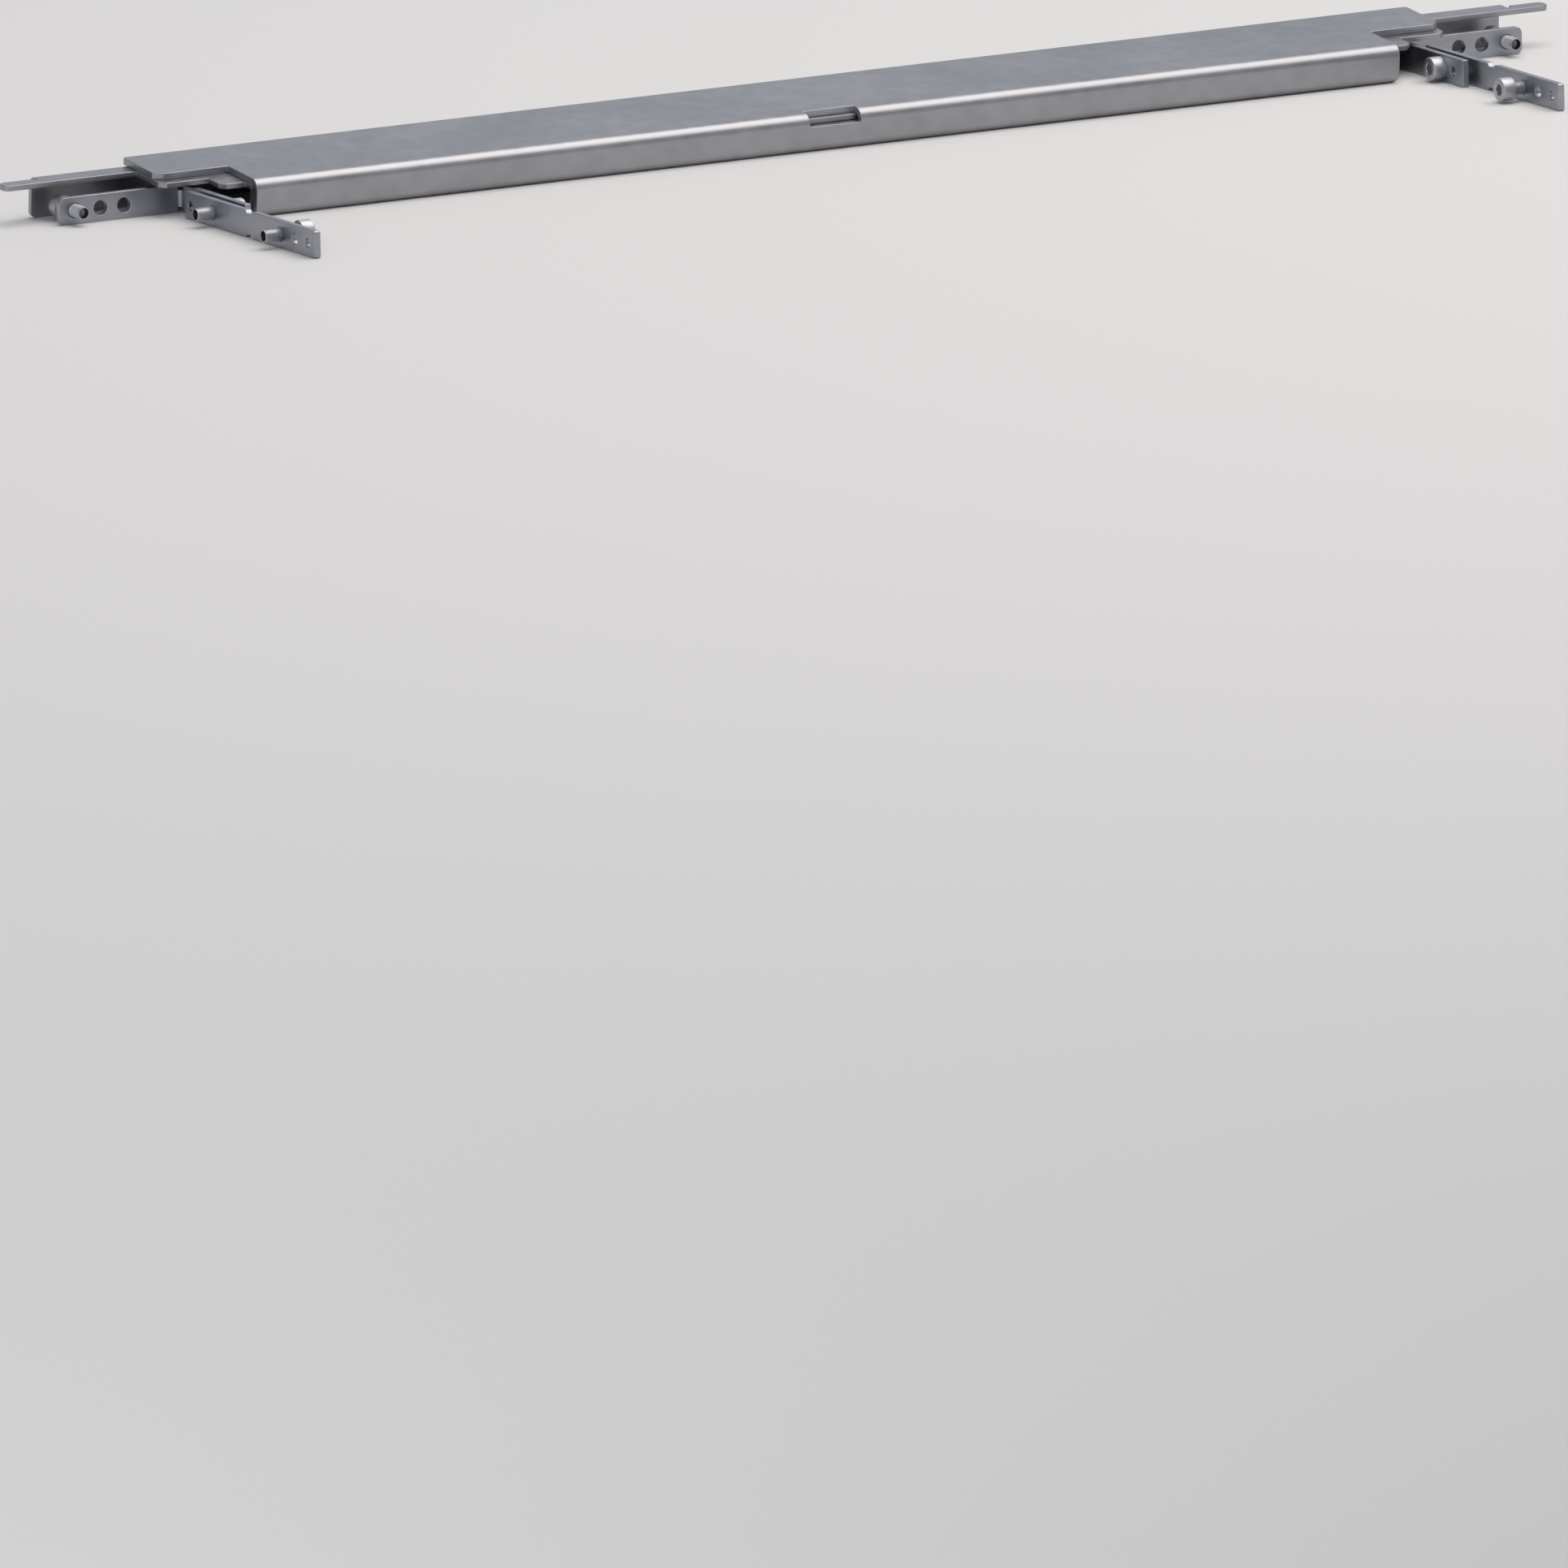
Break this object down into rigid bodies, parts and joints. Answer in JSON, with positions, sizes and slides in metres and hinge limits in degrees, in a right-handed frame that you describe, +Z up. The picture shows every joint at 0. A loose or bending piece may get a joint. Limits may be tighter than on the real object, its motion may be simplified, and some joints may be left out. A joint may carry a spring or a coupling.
{
  "type": "cable trunking tee",
  "caption": "Steel tee fitting for floor cable trunking: a folded bridge across a branch opening, with corner brackets that clamp the side walls of the branch.",
  "frame": {"origin": "on the floor, in the middle of the box around the whole set", "axes": "+X along the bridge to the right, -Y along the branch to the viewer, +Z up"},
  "size_m": [0.629, 0.1322, 0.0181],
  "materials": {
    "galvanised_sheet": "smooth galvanised, satin",
    "zinc_plated_strip": "zinc plated, satin",
    "zinc_plated_screw": "zinc plated, turned"
  },
  "bodies": {
    "root": {"cover_plate": "galvanised_sheet", "support_rail": "galvanised_sheet", "corner_angle_left": "zinc_plated_strip", "clamp_strip_left": "zinc_plated_strip", "arm_screw_left": "zinc_plated_screw", "clamp_screw_left": "zinc_plated_screw", "end_screw_left": "zinc_plated_screw", "corner_angle_right": "zinc_plated_strip", "clamp_strip_right": "zinc_plated_strip", "arm_screw_right": "zinc_plated_screw", "clamp_screw_right": "zinc_plated_screw", "end_screw_right": "zinc_plated_screw"}
  },
  "joints": []
}
